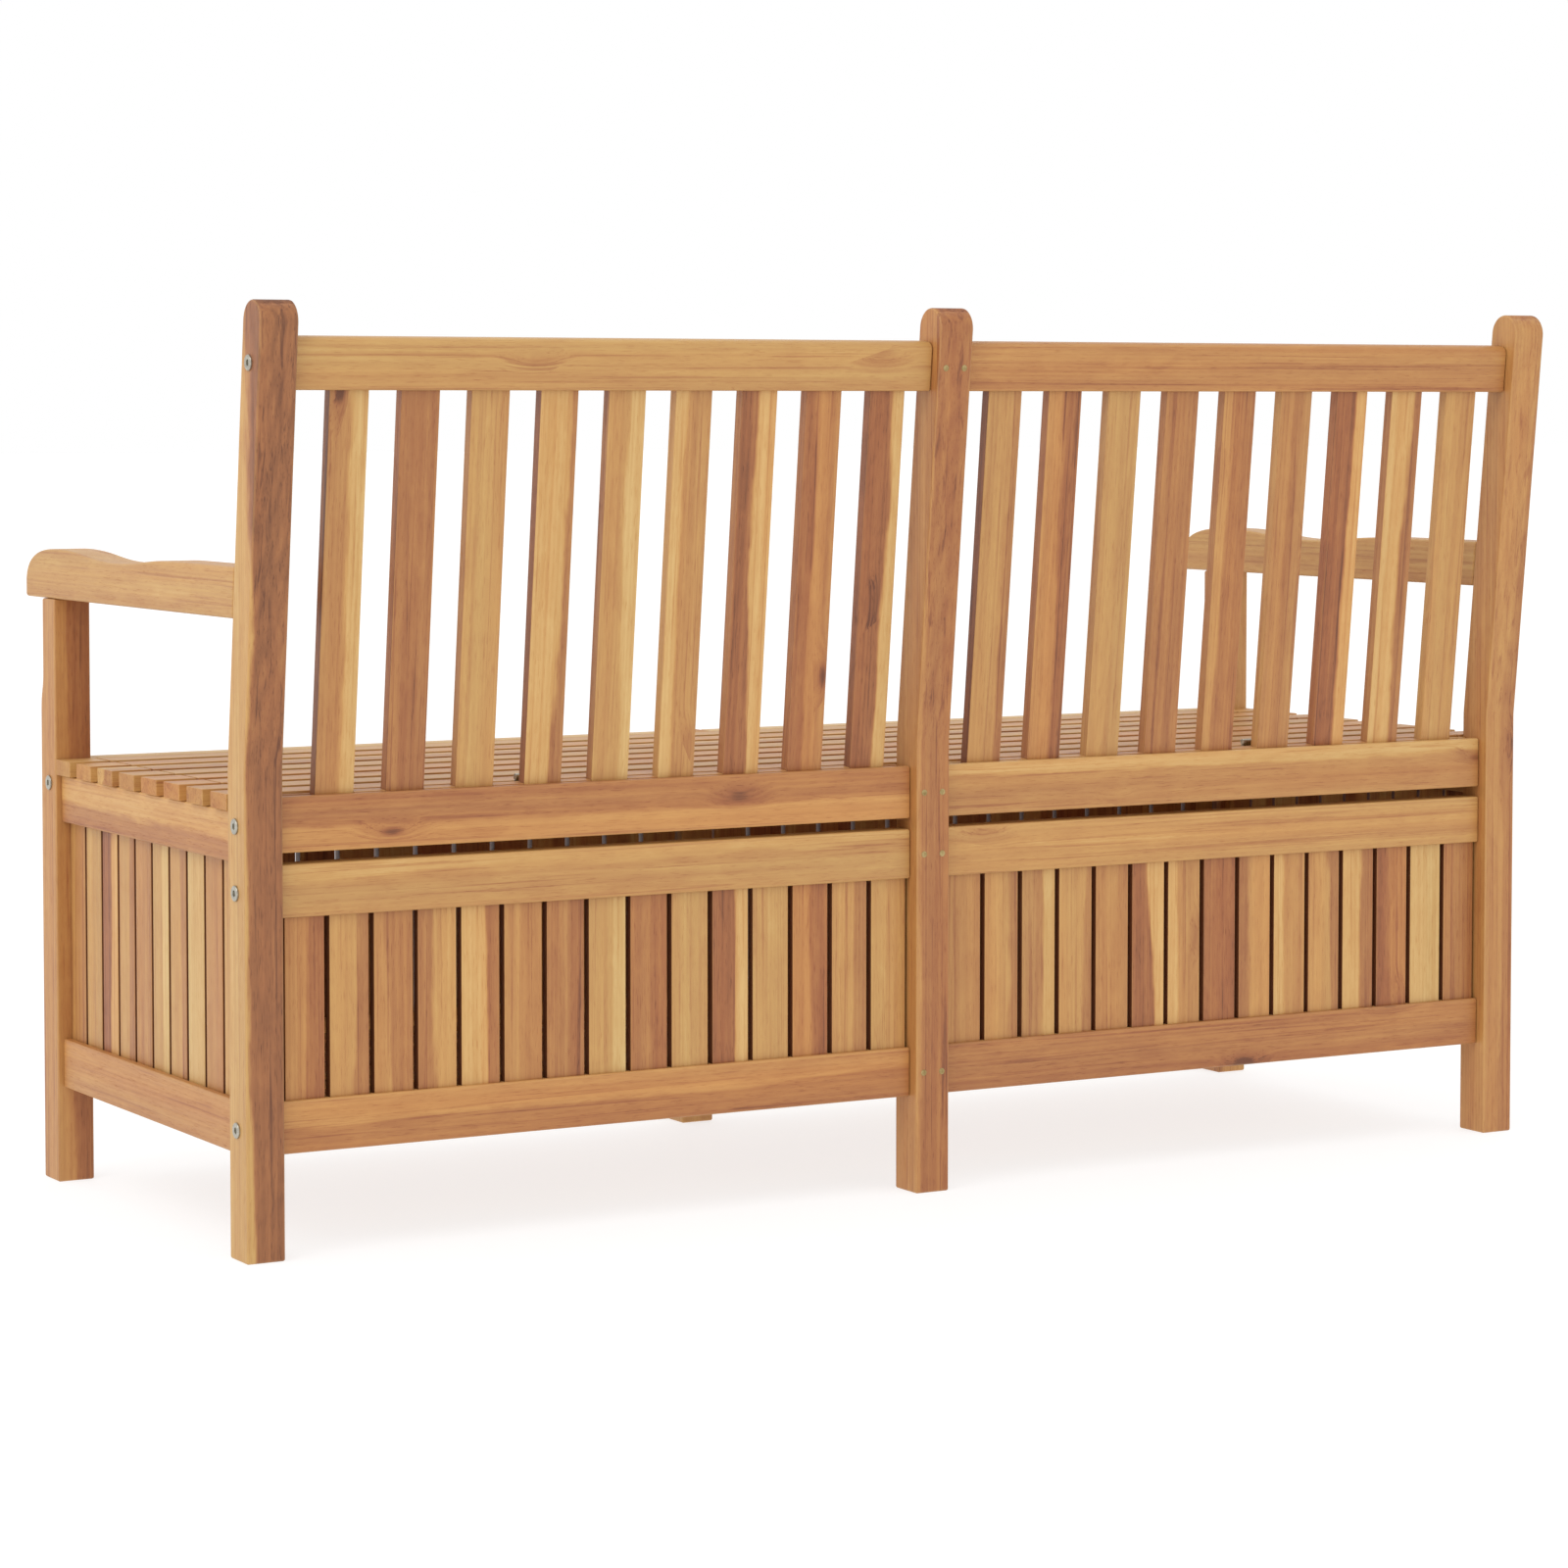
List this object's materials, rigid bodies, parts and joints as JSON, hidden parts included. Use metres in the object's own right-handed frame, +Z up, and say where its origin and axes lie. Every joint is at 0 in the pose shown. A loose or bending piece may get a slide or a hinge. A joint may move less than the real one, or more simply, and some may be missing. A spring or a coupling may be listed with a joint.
{
  "type": "garden storage bench",
  "caption": "Slatted hardwood garden bench with raked backrest and armrests over a slatted storage box; the seat between the armrests is a hinged lid.",
  "frame": {"origin": "on the ground, under the centre of the overall box", "axes": "+X along the bench towards the sitter's left, +Y to the back, -Y is the front where the sitter faces, +Z up"},
  "size_m": [1.504, 0.62, 0.895],
  "materials": {
    "acacia_light": "oiled, light sapwood boards",
    "acacia_golden": "oiled, golden heartwood boards",
    "acacia_red": "oiled, reddish brown heartwood boards",
    "zinc_steel": "zinc plated, satin"
  },
  "bodies": {
    "frame": {"back_post_left": "acacia_light", "front_leg_left": "acacia_golden", "crest_rail_left": "acacia_red", "lower_back_rail_left": "acacia_red", "back_upper_box_rail_left": "acacia_golden", "back_bottom_rail_left": "acacia_golden", "front_top_rail_left": "acacia_light", "front_bottom_rail_left": "acacia_golden", "end_top_rail_left": "acacia_golden", "end_bottom_rail_left": "acacia_red", "backrest_slats_left": "acacia_light", "back_panel_slats_left": "acacia_golden", "front_panel_slats_left": "acacia_light", "end_panel_slats_left": "acacia_light", "armrest_left": "acacia_light", "seat_end_blocks_left": "acacia_light", "hinge_left_frame_leaf": "zinc_steel", "bolt_left_crest": "zinc_steel", "bolt_left_lower_back": "zinc_steel", "bolt_left_upper_box": "zinc_steel", "bolt_left_bottom": "zinc_steel", "bolt_left_front": "zinc_steel", "back_post_right": "acacia_red", "front_leg_right": "acacia_golden", "crest_rail_right": "acacia_golden", "lower_back_rail_right": "acacia_golden", "back_upper_box_rail_right": "acacia_golden", "back_bottom_rail_right": "acacia_golden", "front_top_rail_right": "acacia_light", "front_bottom_rail_right": "acacia_golden", "end_top_rail_right": "acacia_golden", "end_bottom_rail_right": "acacia_red", "backrest_slats_right": "acacia_light", "back_panel_slats_right": "acacia_golden", "front_panel_slats_right": "acacia_light", "end_panel_slats_right": "acacia_light", "armrest_right": "acacia_golden", "seat_end_blocks_right": "acacia_light", "hinge_right_frame_leaf": "zinc_steel", "bolt_right_crest": "zinc_steel", "bolt_right_lower_back": "zinc_steel", "bolt_right_upper_box": "zinc_steel", "bolt_right_bottom": "zinc_steel", "bolt_right_front": "zinc_steel", "back_post_middle": "acacia_red", "front_leg_middle": "acacia_golden", "seat_centre_support": "acacia_golden", "floor_boards": "acacia_golden"},
    "lid": {"lid_slat_1": "acacia_light", "lid_slat_2": "acacia_golden", "lid_slat_3": "acacia_light", "lid_slat_4": "acacia_light", "lid_slat_5": "acacia_golden", "lid_slat_6": "acacia_light", "lid_slat_7": "acacia_light", "lid_slat_8": "acacia_golden", "lid_batten_left": "acacia_golden", "lid_batten_right": "acacia_golden", "hinge_left_lid_leaf": "zinc_steel", "hinge_right_lid_leaf": "zinc_steel"}
  },
  "joints": [
    {"name": "lid_hinge", "type": "hinge", "parent": "frame", "child": "lid", "pos_m": [0, 0.22548, 0.4395], "axis": [-1, 0, 0], "range_deg": [0, 95]}
  ]
}
